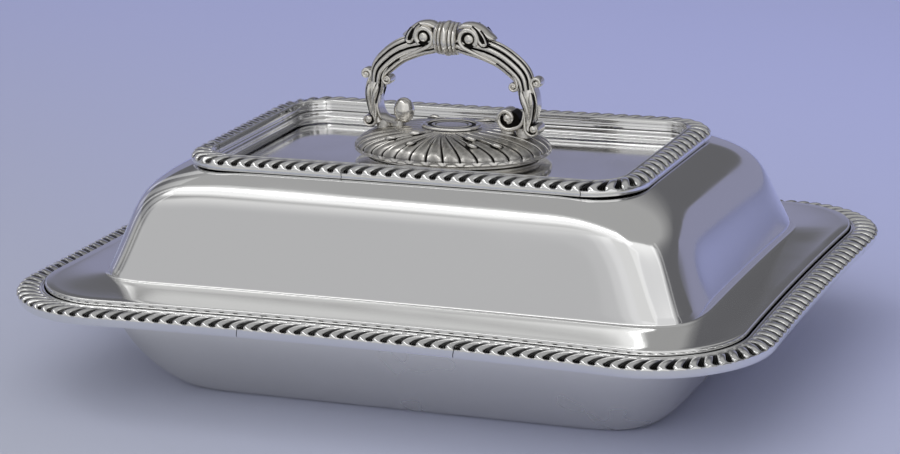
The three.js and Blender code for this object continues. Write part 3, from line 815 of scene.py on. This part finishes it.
def scroll_bar(mesh, scroll):
    """A bar that rolls up into a scroll with a dark floor of painted shade and a ball for its eye."""
    sweep(mesh, [*scroll.lead, *spiral_points(scroll)], round_section(16, 0.6), steps=2)
    x, z, radius = scroll.floor
    floor = scroll.half_depths[0] - floor_drop
    painted_shade_disc(mesh, (x, z), radius, floor)
    for lift in (-floor, floor):
        ball(mesh, scroll.centre, (scroll.eye, floor_drop, scroll.eye), lift)


def shade_outlined_bar(mesh, points, count, lift):
    """A raised bar with a line of painted shade round it."""
    wider = [(x, z, half_width + outline_width, half_depth - outline_drop)
             for x, z, half_width, half_depth in points]
    sweep(mesh, wider, round_section(count, recess=1), lift)
    sweep(mesh, points, round_section(count), lift)


def leaf(mesh):
    """The leaf over the volute, with a hanging lobe at the front and at the back."""
    sweep(mesh, blade_points, round_section(20, 0.9))
    for lift in (-lobe_lift, lobe_lift):
        shade_outlined_bar(mesh, lobe_edge_points, 8, lift)
        # The lobe's hollow is a dark bar of painted shade
        sweep(mesh, lobe_hollow_points, round_section(10, recess=1), lift)


def crown(mesh):
    """The leaf points on the front and the back of the shin."""
    for lift in (-crown_lift, crown_lift):
        for points in crown_points:
            shade_outlined_bar(mesh, points, 10, lift)


def arm_mesh(foot_disc):
    """The right arm of the handle; with foot_disc its foot's scroll ends in a plain round face."""
    mesh = new_mesh()
    sweep(mesh, limb_points, reeded_section(10, 0.34))
    sweep(mesh, shin_points, round_section(20, 0.9))
    scroll_bar(mesh, volute)
    leaf(mesh)
    crown(mesh)
    scroll_bar(mesh, ear)
    scroll_bar(mesh, inner_ear)
    if foot_disc:
        ball(mesh, foot_disc_centre, foot_disc_sizes)
        sweep(mesh, [*foot_scroll.lead, *foot_end_points], round_section(10, 0.8), steps=3)
    else:
        scroll_bar(mesh, foot_scroll)
    scroll_bar(mesh, toe_scroll)
    for x in pad_places:
        pad = [(x, boss_top / MM + rise, *half_sizes) for rise, *half_sizes in pad_points]
        # The pads carry painted shade, as they sit in shadow under the foot
        sweep(mesh, pad, round_section(16, recess=0.4), steps=2)
    return mesh


def finish_arm(name, foot_disc, side, material):
    """One arm of the handle, on the right or, mirrored, on the left, with its stud."""
    mesh = arm_mesh(foot_disc)
    if side < 0:
        bmesh.ops.scale(mesh, vec=(left_arm_share, 1, 1), verts=mesh.verts)
    stud_top = boss_top + stud_rise
    place = Matrix.Translation((stud_place, 0, (stud_bottom + stud_top) / 2))
    bmesh.ops.create_cone(mesh, cap_ends=True, segments=16, radius1=stud_radius, radius2=stud_radius,
                          depth=stud_top - stud_bottom, matrix=place)
    if side < 0:
        bmesh.ops.scale(mesh, vec=(-1, 1, 1), verts=mesh.verts)
    finish_piece(mesh, f"{name}_cast", material, "handle", [name], 60)


# The depths of the reliefs that only the light shows
wear_relief = 0.06 * MM
tool_mark_relief = 0.02 * MM


def feed(tree, sockets, values):
    """Joins named sockets to others, or sets them to plain values."""
    for name, value in values.items():
        if isinstance(value, bpy.types.NodeSocket):
            tree.links.new(value, sockets[name])
        else:
            sockets[name].default_value = value


def add_node(tree, kind, inputs=None, **values):
    """A node with its own values set and its inputs fed."""
    node = tree.nodes.new(kind)
    for name, value in values.items():
        setattr(node, name, value)
    feed(tree, node.inputs, inputs or {})
    return node


def add_noise(tree, vector, scale, detail):
    """Noise on a vector."""
    node = add_node(tree, "ShaderNodeTexNoise", {"Vector": vector, "Scale": scale, "Detail": detail})
    return node.outputs["Fac"]


def add_sum(tree, operation, *values):
    """The result of some arithmetic."""
    return add_node(tree, "ShaderNodeMath", dict(enumerate(values)), operation=operation).outputs[0]


def add_ramp(tree, value, low, high, ends=(0, 1), kind="SMOOTHSTEP"):
    """A step from the first end where the value is low to the last where it is high."""
    if low > high:
        low, high = high, low
        ends = ends[::-1]
    inputs = {"Value": value, "From Min": low, "From Max": high, "To Min": ends[0], "To Max": ends[1]}
    return add_node(tree, "ShaderNodeMapRange", inputs, interpolation_type=kind).outputs["Result"]


def add_mix(tree, factor, first, second):
    """A mix of two colours, each of them a socket or a plain colour."""
    inputs = {"Factor": factor}
    for name, colour in (("A", first), ("B", second)):
        inputs[name] = colour if isinstance(colour, bpy.types.NodeSocket) else (*colour, 1)
    return add_node(tree, "ShaderNodeMix", inputs, data_type="RGBA").outputs["Result"]


def add_bump(tree, height, distance):
    """The normals of a relief."""
    return add_node(tree, "ShaderNodeBump", {"Height": height, "Distance": distance}).outputs["Normal"]


def new_group(name, inputs, outputs):
    """A node group, with the sockets that are given to it and the sockets of its result."""
    group = bpy.data.node_groups.new(name, "ShaderNodeTree")
    group.interface.new_socket("Vector", in_out="INPUT", socket_type="NodeSocketVector")
    for names, way in ((inputs, "INPUT"), (outputs, "OUTPUT")):
        for socket in names:
            group.interface.new_socket(socket, in_out=way, socket_type="NodeSocketFloat")
    return group, group.nodes.new("NodeGroupInput").outputs, group.nodes.new("NodeGroupOutput").inputs


def wear_group():
    """Fine scratches and slow waves of a polished sheet: a height and a mask of its duller places."""
    known = bpy.data.node_groups.get("worn_polish")
    if known:
        return known
    group, given, result = new_group("worn_polish", ["Scratches"], ["Height", "Dull"])
    height = add_noise(group, given["Vector"], 16, 1)
    for degrees, stretch in ((18, 900), (-35, 1300)):
        turn = math.radians(degrees)
        inputs = {"Vector": given["Vector"], "Rotation": (turn, 0, turn), "Scale": (25, stretch, stretch)}
        mapping = add_node(group, "ShaderNodeMapping", inputs)
        streaks = add_noise(group, mapping.outputs["Vector"], 1, 2)
        height = add_sum(group, "ADD", height, add_sum(group, "MULTIPLY", streaks, given["Scratches"]))
    feed(group, result, {"Height": height, "Dull": add_noise(group, given["Vector"], 30, 2)})
    return group


def tarnish_and_shade_group():
    """Dark tarnish and painted shade that gather in recesses: a mask from the recess and a fine mottle."""
    known = bpy.data.node_groups.get("recess_tarnish_and_shade")
    if known:
        return known
    group, given, result = new_group("recess_tarnish_and_shade", ["Recess"], ["Mask"])
    mottle = add_ramp(group, add_noise(group, given["Vector"], 700, 3), 0, 1, (-0.15, 0.15), "LINEAR")
    added = add_sum(group, "ADD", given["Recess"], mottle)
    feed(group, result, {"Mask": add_ramp(group, added, 0.2, 0.8)})
    return group


def new_material(name, metallic):
    """A material, its node tree, its shader's inputs and the place on the piece."""
    material = bpy.data.materials.new(name)
    material.use_nodes = True
    tree = material.node_tree
    shader = tree.nodes["Principled BSDF"].inputs
    shader["Metallic"].default_value = metallic
    return material, tree, shader, add_node(tree, "ShaderNodeTexCoord").outputs["Object"]


def silver_finish(name, colour, roughness, dullness, scratches):
    """A silver with worn polish, duller patches, and tarnish and painted shade in its recesses."""
    known = bpy.data.materials.get(name)
    if known:
        return known
    tarnish_and_shade = bpy.context.scene.dish_colours.tarnish_and_shade
    material, tree, shader, place = new_material(name, 1)
    recess = add_node(tree, "ShaderNodeAttribute", attribute_name="recess").outputs["Fac"]
    wear = add_node(tree, "ShaderNodeGroup", {"Vector": place, "Scratches": scratches},
                    node_tree=wear_group())
    tarnish_and_shade_node = add_node(tree, "ShaderNodeGroup", {"Vector": place, "Recess": recess}, node_tree=tarnish_and_shade_group())
    mask = tarnish_and_shade_node.outputs["Mask"]
    dull = add_ramp(tree, wear.outputs["Dull"], 0.35, 0.75, (roughness, roughness + dullness), "LINEAR")
    feed(tree, shader, {
        # The tarnish colour also paints the shade of the hollows, the grooves and the lines round raised work
        "Base Color": add_mix(tree, mask, colour, tarnish_and_shade),
        "Roughness": add_sum(tree, "MULTIPLY_ADD", mask, 0.35, dull),
        "Normal": add_bump(tree, wear.outputs["Height"], wear_relief),
    })
    return material


def turned_finish(name, colour, roughness):
    """A dull turned or pressed metal with fine tool marks and darker patches."""
    material, tree, shader, place = new_material(name, 1)
    patches = add_noise(tree, place, 90, 5)
    darker = [channel * 0.55 for channel in colour]
    rings = add_node(tree, "ShaderNodeTexWave", {"Vector": place, "Scale": 900}, wave_type="RINGS",
                     rings_direction="Z")
    feed(tree, shader, {
        "Base Color": add_mix(tree, patches, colour, darker),
        "Roughness": add_ramp(tree, patches, 0, 1, (roughness, roughness + 0.2), "LINEAR"),
        "Normal": add_bump(tree, rings.outputs["Fac"], tool_mark_relief),
    })
    return material


def polished_silver():
    """The finish of the cover and the borders."""
    return silver_finish("polished_silver", bpy.context.scene.dish_colours.silver, 0.06, 0.08, 0.012)


def soft_silver():
    """The finish of the basin, which is less polished."""
    return silver_finish("soft_silver", bpy.context.scene.dish_colours.soft_silver, 0.22, 0.08, 0.02)


def cast_silver():
    """The finish of the cast and chased pieces."""
    return silver_finish("cast_silver", bpy.context.scene.dish_colours.cast_silver, 0.14, 0.12, 0.03)


class DishSizes(bpy.types.PropertyGroup):
    """Sizes of the ornament that a user may change."""

    rim_pitch: FloatProperty(name="Rim gadroon", description="Length of one gadroon of the dish's border",
                             default=5.65 * MM, unit="LENGTH", precision=4)
    top_pitch: FloatProperty(name="Top gadroon", description="Length of one gadroon of the cover's border",
                             default=5.9 * MM, unit="LENGTH", precision=4)
    gadroon_relief: FloatProperty(name="Gadroon relief", description="Depth of the hollows between gadroons",
                                  default=1.35 * MM, unit="LENGTH", precision=4)
    gadroon_sweep: FloatProperty(name="Gadroon sweep", description="How far a gadroon's tail trails along",
                                 default=6.3 * MM, unit="LENGTH", precision=4)
    flute_relief: FloatProperty(name="Flute relief", description="Depth of the grooves of the boss",
                                default=0.65 * MM, unit="LENGTH", precision=4)


class DishColours(bpy.types.PropertyGroup):
    """Colours of the metals."""

    silver: FloatVectorProperty(name="Silver", description="Colour of the polished silver plate",
                                default=(0.86, 0.86, 0.855), subtype="COLOR", min=0, max=1)
    soft_silver: FloatVectorProperty(name="Soft silver", description="Colour of the basin's duller plate",
                                     default=(0.84, 0.825, 0.76), subtype="COLOR", min=0, max=1)
    cast_silver: FloatVectorProperty(name="Cast silver", description="Colour of the cast silver plate",
                                     default=(0.8, 0.78, 0.74), subtype="COLOR", min=0, max=1)
    # Tarnish and painted shade share this colour: the dark of hollows and grooves, the lines round raised
    # work and the floors of the scrolls
    tarnish_and_shade: FloatVectorProperty(name="Tarnish and shade", description="Colour of the tarnish in the recesses",
                                 default=(0.012, 0.011, 0.01), subtype="COLOR", min=0, max=1)
    brass: FloatVectorProperty(name="Brass", description="Colour of the inner brass pieces",
                               default=(0.6, 0.5, 0.3), subtype="COLOR", min=0, max=1)
    steel: FloatVectorProperty(name="Steel", description="Colour of the spring washer",
                               default=(0.45, 0.45, 0.46), subtype="COLOR", min=0, max=1)


class StageSettings(bpy.types.PropertyGroup):
    """The floor's colours and the strengths of the lamps."""

    near_floor: FloatVectorProperty(name="Near floor", description="Colour of the floor near the camera",
                                    default=(0.36, 0.377, 0.44), subtype="COLOR", min=0, max=1)
    front_floor: FloatVectorProperty(name="Front floor", description="Colour of the floor in the foreground",
                                     default=(0.42, 0.42, 0.4), subtype="COLOR", min=0, max=1)
    far_floor: FloatVectorProperty(name="Far floor", description="Colour of the floor behind the dish",
                                   default=(0.45, 0.485, 0.85), subtype="COLOR", min=0, max=1)
    panel_strength: FloatProperty(name="Panel", description="Radiance of the large panel in front",
                                  default=0.38, min=0)
    edge_strength: FloatProperty(name="Edges", description="Radiance of the panels round the large one",
                                 default=0.4, min=0)
    key_strength: FloatProperty(name="Key", description="Radiance of the thin bright strip",
                                default=2.4, min=0)
    overhead_strength: FloatProperty(name="Overhead", description="Radiance of the lamp over the floor",
                                     default=1.3, min=0)
    fill_strength: FloatProperty(name="Fill", description="Radiance of the lamp for the floor in front",
                                 default=2.8, min=0)
    ambient: FloatVectorProperty(name="Ambient", description="Light of the surroundings on dull surfaces",
                                 default=(0.45, 0.45, 0.45), subtype="COLOR", min=0, max=1)
    backdrop: FloatVectorProperty(name="Backdrop", description="Light of the backdrop that metal reflects",
                                  default=(0.27, 0.275, 0.39), subtype="COLOR", min=0, max=1)
    dark_side: FloatVectorProperty(name="Dark side", description="Light of the surroundings on the right",
                                   default=(0.13, 0.13, 0.14), subtype="COLOR", min=0, max=1)
    zenith: FloatVectorProperty(name="Zenith", description="Light of the surroundings overhead",
                                default=(0.4, 0.4, 0.4), subtype="COLOR", min=0, max=1)


floor_half_size = 5.0
# How high the backdrop reaches behind the dish, as the sine of its elevation
backdrop_rise = 0.262
# The grey of the studio just above the horizon, under the backdrop's upper edge
horizon_grey = 0.24
# Groups of lamps: degrees up, distance in metres and the setting that gives the strength. Then for each lamp
# the degrees to the right of the front, width and height in metres, and its share of the strength.
lamp_groups = {
    "front_panel": (23, 1.5, "panel_strength", (
        (-25, 2.6, 1.6, 0.25), (-25, 2.5, 1.53, 0.25), (-25, 2.4, 1.47, 0.25), (-25, 2.3, 1.4, 0.25),
    )),
    "top_edge": (59, 1.6, "edge_strength", (
        (-40, 2.3, 0.5, 0.55), (-40, 2.3, 0.4, 0.55), (-40, 2.3, 0.3, 0.55),
    )),
    "bright_strip": (62, 1.75, "key_strength", ((-40, 2, 0.1, 1),)),
    "streak": (28, 1.7, "edge_strength", (
        (66, 0.2, 1.3, 0.35), (80, 0.12, 1.3, 0.5), (-72, 0.15, 1.3, 0.7), (-84, 0.3, 1.3, 0.5),
        (-100, 0.12, 1.3, 1), (-115, 0.3, 1.3, 0.5), (-130, 0.12, 1.3, 0.8),
    )),
    "right_panel": (24, 1.4, "edge_strength", (
        (27, 2.6, 1.6, 0.12), (28.5, 2.35, 1.6, 0.25), (30, 2.1, 1.6, 0.3), (32, 1.8, 1.6, 0.25),
        (38, 1.3, 1.6, 0.6),
    )),
    "overhead": (65, 1.8, "overhead_strength", ((10, 1.5, 1.2, 1),)),
    "fill": (32, 1.8, "fill_strength", ((5, 1.6, 1, 1),)),
}
# Each lamp of a group stands a little behind the one before it, and metal doesn't reflect the last two groups
lamp_step = 0.02
unreflected_groups = ("overhead", "fill")
lamp_target_height = 60 * MM


def around(azimuth, elevation, distance):
    """A place round the dish: degrees to the right of the front, and degrees up."""
    turn = math.radians(azimuth)
    rise = math.radians(elevation)
    flat = distance * math.cos(rise)
    return Vector((flat * math.sin(turn), -flat * math.cos(turn), distance * math.sin(rise)))


def add_panel(name, place, width, height, radiance):
    """A soft rectangular lamp of a given radiance that shines on the dish."""
    lamp = bpy.data.lights.new(name, "AREA")
    lamp.shape = "RECTANGLE"
    lamp.size = width
    lamp.size_y = height
    lamp.energy = radiance * math.pi * width * height
    panel = bpy.data.objects.new(name, lamp)
    target = Vector((0, 0, lamp_target_height))
    turn = (target - place).to_track_quat("-Z", "Y").to_matrix().to_4x4()
    panel.matrix_world = Matrix.Translation(place) @ turn
    bpy.context.scene.collection.objects.link(panel)
    return panel


class DISH_OT_stage(bpy.types.Operator):
    """Makes the floor, the lamps, the surroundings and the camera"""

    bl_idname = "dish.stage"
    bl_label = "Make the Stage"

    def execute(self, context):
        settings = context.scene.dish_stage
        self.add_floor(settings)
        self.add_lamps(settings)
        self.add_surroundings(settings)
        self.add_camera()
        context.scene.view_settings.view_transform = "Standard"
        return {"FINISHED"}

    def add_floor(self, settings):
        """A plain floor whose colour changes slowly from near to far and towards the front."""
        mesh = bmesh.new()
        bmesh.ops.create_grid(mesh, x_segments=2, y_segments=2, size=floor_half_size)
        data = bpy.data.meshes.new("floor")
        mesh.to_mesh(data)
        mesh.free()
        material, tree, shader, place = new_material("floor_paper", 0)
        colour = settings.near_floor
        for towards, low, high, next_colour in (((0.4, 0.92, 0), -0.35, 0.65, settings.far_floor),
                                                ((0.38, -0.925, 0), 0.11, 0.35, settings.front_floor)):
            distance = add_node(tree, "ShaderNodeVectorMath", {0: place, 1: towards}, operation="DOT_PRODUCT")
            colour = add_mix(tree, add_ramp(tree, distance.outputs["Value"], low, high), colour, next_colour)
        feed(tree, shader, {"Base Color": colour, "Roughness": 0.6, "Specular IOR Level": 0.2})
        data.materials.append(material)
        floor = bpy.data.objects.new("floor", data)
        bpy.context.scene.collection.objects.link(floor)

    def add_lamps(self, settings):
        """Panels and streaks that the metal reflects, and two lamps for the floor that it doesn't."""
        for name, (rise, distance, strength, lamps) in lamp_groups.items():
            radiance = getattr(settings, strength)
            for number, (turn, width, height, share) in enumerate(lamps):
                place = around(turn, rise, distance + lamp_step * number)
                panel = add_panel(f"{name}_{number + 1}", place, width, height, radiance * share)
                panel.visible_glossy = name not in unreflected_groups

    def add_surroundings(self, settings):
        """A studio that metal sees tinted behind the dish and dark in front and on the right.

        Dull surfaces get an even light from all of it.
        """
        world = bpy.data.worlds.new("studio")
        world.use_nodes = True
        tree = world.node_tree
        direction = add_node(tree, "ShaderNodeTexCoord").outputs["Generated"]
        x, y, z = add_node(tree, "ShaderNodeSeparateXYZ", {0: direction}).outputs
        rise = add_node(tree, "ShaderNodeValToRGB", {"Fac": z})
        stops = rise.color_ramp.elements
        stops[0].color = (horizon_grey, horizon_grey, horizon_grey, 1)
        stops[0].position = backdrop_rise
        stops[1].color = (*settings.zenith, 1)
        stops[1].position = 0.75
        for position in (backdrop_rise + 0.02, 0.45):
            stops.new(position).color = (*settings.dark_side, 1)
        low = add_ramp(tree, z, backdrop_rise + 0.02, backdrop_rise)
        behind = add_sum(tree, "MULTIPLY", low, add_ramp(tree, y, -0.1, 0.3))
        in_front = add_sum(tree, "MULTIPLY", add_ramp(tree, y, -0.2, -0.6), add_ramp(tree, z, 0.7, 0.4))
        colour = add_mix(tree, behind, rise.outputs["Color"], settings.backdrop)
        colour = add_mix(tree, in_front, colour, settings.dark_side)
        colour = add_mix(tree, add_ramp(tree, x, 0.6, 0.95), colour, settings.dark_side)
        path = add_node(tree, "ShaderNodeLightPath")
        colour = add_mix(tree, path.outputs["Is Diffuse Ray"], colour, settings.ambient)
        feed(tree, tree.nodes["Background"].inputs, {"Color": colour})
        bpy.context.scene.world = world

    def add_camera(self):
        """A long lens in front of the dish, a little above it and to its right."""
        azimuth = 22.38
        elevation = 15.54
        roll = -1.78
        distance = 1.13985
        target_height = 55 * MM
        back = around(azimuth, elevation, 1)
        right = around(azimuth + 90, 0, 1)
        up = back.cross(right)
        turn = Matrix((right, up, back)).transposed().to_4x4() @ Matrix.Rotation(math.radians(roll), 4, "Z")
        lens = bpy.data.cameras.new("camera")
        lens.sensor_width = 36
        lens.lens = 114.8
        lens.shift_x = -0.00574
        lens.shift_y = 0.00501
        lens.clip_end = 50
        camera = bpy.data.objects.new("camera", lens)
        place = Vector((0, 0, target_height)) + back * distance
        camera.matrix_world = Matrix.Translation(place) @ turn
        bpy.context.scene.collection.objects.link(camera)
        bpy.context.scene.camera = camera


class DISH_OT_basin(bpy.types.Operator):
    """Makes the basin with its flange"""

    bl_idname = "dish.basin"
    bl_label = "Make the Basin"

    def execute(self, context):
        mesh = sheet_mesh(basin_levels(), ring_places())
        piece = finish_piece(mesh, "basin_sheet", soft_silver(), "dish", ["dish_basin"],
                             facing=-1)
        add_wall(piece, sheet)
        return {"FINISHED"}


class DISH_OT_cover(bpy.types.Operator):
    """Makes the cover with its dome and sunk top"""

    bl_idname = "dish.cover"
    bl_label = "Make the Cover"

    def execute(self, context):
        mesh = sheet_mesh(cover_levels(), ring_places())
        piece = finish_piece(mesh, "cover_sheet", polished_silver(), "cover", ["cover_shell"],
                             facing=1)
        add_wall(piece, sheet)
        return {"FINISHED"}


class DISH_OT_borders(bpy.types.Operator):
    """Makes the gadroon borders of the dish and of the cover"""

    bl_idname = "dish.borders"
    bl_label = "Make the Borders"

    def execute(self, context):
        sizes = context.scene.dish_sizes
        rim_rows = border_rows(rim_row_shares, rim_border_width, cover_seat, rim_border_height,
                               rim_border_skirt)
        top_rows = border_rows(top_row_shares, top_border_width, top_border_seat, top_border_height, 0)
        make_border("rim_border", rim_outline, rim_rows, rim_seam_shares, sizes.rim_pitch, "dish",
                    polished_silver())
        make_border("top_border", top_outline, top_rows, top_seam_shares, sizes.top_pitch, "cover",
                    polished_silver())
        return {"FINISHED"}


class DISH_OT_boss(bpy.types.Operator):
    """Makes the fluted boss and its medallion"""

    bl_idname = "dish.boss"
    bl_label = "Make the Boss"

    def execute(self, context):
        mesh = boss_mesh()
        piece = finish_piece(mesh, "boss_fluted", cast_silver(), "handle", ["boss_shell"],
                             facing=1)
        add_wall(piece, thin_sheet)
        drops = new_mesh()
        for degrees, down in boss_drops:
            for half_turn in (0, math.pi):
                add_drop(drops, math.radians(degrees) + half_turn, down)
        finish_piece(drops, "boss_drops", cast_silver(), "handle", [])
        finish_piece(medallion_mesh(), "medallion_ringed", cast_silver(), "handle", ["boss_medallion"])
        return {"FINISHED"}


class DISH_OT_handle(bpy.types.Operator):
    """Makes the collar and the two cast arms of the handle"""

    bl_idname = "dish.handle"
    bl_label = "Make the Handle"

    def execute(self, context):
        finish_piece(collar_mesh(), "collar_ringed", cast_silver(), "handle", ["handle_collar"])
        finish_arm("handle_arm_right", False, 1, cast_silver())
        finish_arm("handle_arm_left", True, -1, cast_silver())
        return {"FINISHED"}


class DISH_OT_inner_metal(bpy.types.Operator):
    """Gives the hidden brass and steel pieces their finish"""

    bl_idname = "dish.inner_metal"
    bl_label = "Finish the Inner Pieces"

    def execute(self, context):
        colours = context.scene.dish_colours
        brass = turned_finish("inner_brass", colours.brass, 0.3)
        steel = turned_finish("spring_steel", colours.steel, 0.35)
        for name in inner_names:
            nodes[name].data.materials.clear()
            nodes[name].data.materials.append(steel if name == "spring_washer" else brass)
        return {"FINISHED"}


class DISH_PT_panel(bpy.types.Panel):
    """Lists the sizes, the colours and the makers of the dish's pieces"""

    bl_idname = "DISH_PT_panel"
    bl_label = "Serving Dish"
    bl_space_type = "VIEW_3D"
    bl_region_type = "UI"
    bl_category = "Dish"

    def draw(self, context):
        for group in (context.scene.dish_sizes, context.scene.dish_colours, context.scene.dish_stage):
            for name in group.__annotations__:
                self.layout.prop(group, name)
        for operator in operators:
            self.layout.operator(operator.bl_idname)


operators = (DISH_OT_stage, DISH_OT_basin, DISH_OT_cover, DISH_OT_borders, DISH_OT_boss, DISH_OT_handle,
             DISH_OT_inner_metal)
groups = {"dish_sizes": DishSizes, "dish_colours": DishColours, "dish_stage": StageSettings}


def register():
    """Registers the property groups, the operators and the panel."""
    for name, group in groups.items():
        bpy.utils.register_class(group)
        setattr(bpy.types.Scene, name, PointerProperty(type=group))
    for kind in (*operators, DISH_PT_panel):
        bpy.utils.register_class(kind)


def unregister():
    """Takes them all away again."""
    for kind in (DISH_PT_panel, *operators):
        bpy.utils.unregister_class(kind)
    for name, group in groups.items():
        delattr(bpy.types.Scene, name)
        bpy.utils.unregister_class(group)


def main():
    """Makes the whole dish."""
    register()
    bpy.ops.dish.stage()
    bpy.ops.dish.basin()
    bpy.ops.dish.cover()
    bpy.ops.dish.borders()
    bpy.ops.dish.boss()
    bpy.ops.dish.handle()
    bpy.ops.dish.inner_metal()


if __name__ == "__main__":
    main()
